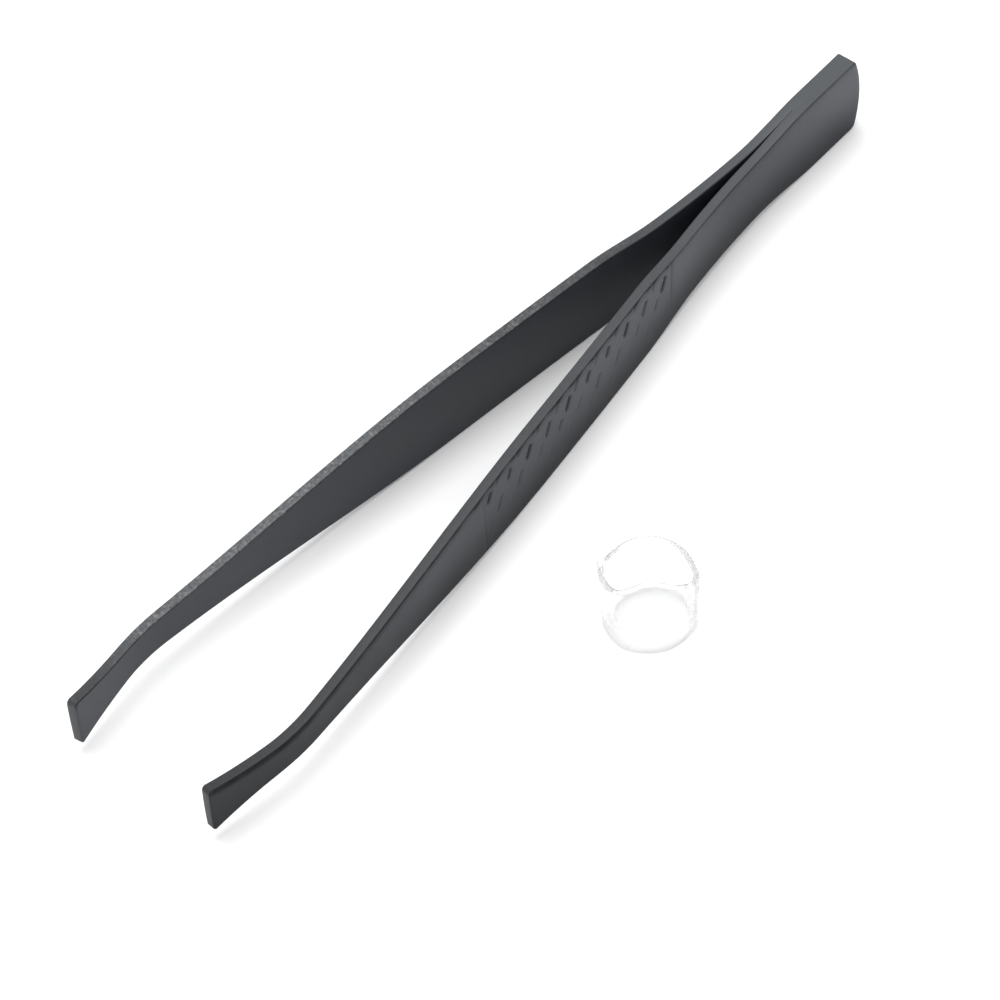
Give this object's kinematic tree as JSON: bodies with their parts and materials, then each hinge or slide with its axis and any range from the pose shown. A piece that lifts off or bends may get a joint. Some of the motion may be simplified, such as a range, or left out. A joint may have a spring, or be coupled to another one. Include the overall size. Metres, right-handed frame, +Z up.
{
  "type": "aquascaping tweezers",
  "caption": "Short matte black steel tweezers with bowed, stamped-grip arms and flared inturned tips, standing on edge beside a loose clear retaining ring.",
  "frame": {"origin": "on the table, on the mirror plane of the two strips, under the flat foot of the butt, 4.5 mm in front of the butt's end", "axes": "+X along the tweezers from the butt to the tips, +Z up from the table to the strips' upper edges, +Y towards the left arm"},
  "size_m": [0.1009, 0.0373, 0.0085],
  "materials": {
    "coated_steel": "fine-grained matte black coat on stamped steel",
    "coated_weld": "matte black coat over a dressed weld seam",
    "clear_vinyl": "clear soft plastic with cut edges"
  },
  "bodies": {
    "butt": {"left_butt_plate": "coated_steel", "right_butt_plate": "coated_steel", "butt_weld": "coated_weld"},
    "left_arm": {"left_arm": "coated_steel"},
    "right_arm": {"right_arm": "coated_steel"},
    "ring": {"retaining_ring": "clear_vinyl"}
  },
  "joints": [
    {"name": "left_flex", "type": "hinge", "parent": "butt", "child": "left_arm", "pos_m": [0.01848, 0.00117, 0.00425], "axis": [0, 0, -1], "range_deg": [-2, 5.38], "stiffness_Nm_per_rad": 2.8},
    {"name": "right_flex", "type": "hinge", "parent": "butt", "child": "right_arm", "pos_m": [0.01848, -0.00117, 0.00425], "axis": [0, 0, 1], "range_deg": [-2, 5.38], "stiffness_Nm_per_rad": 2.8},
    {"name": "ring_lift", "type": "slide", "parent": "butt", "child": "ring", "axis": [0, 0, 1], "range_m": [0, 0.03]}
  ]
}
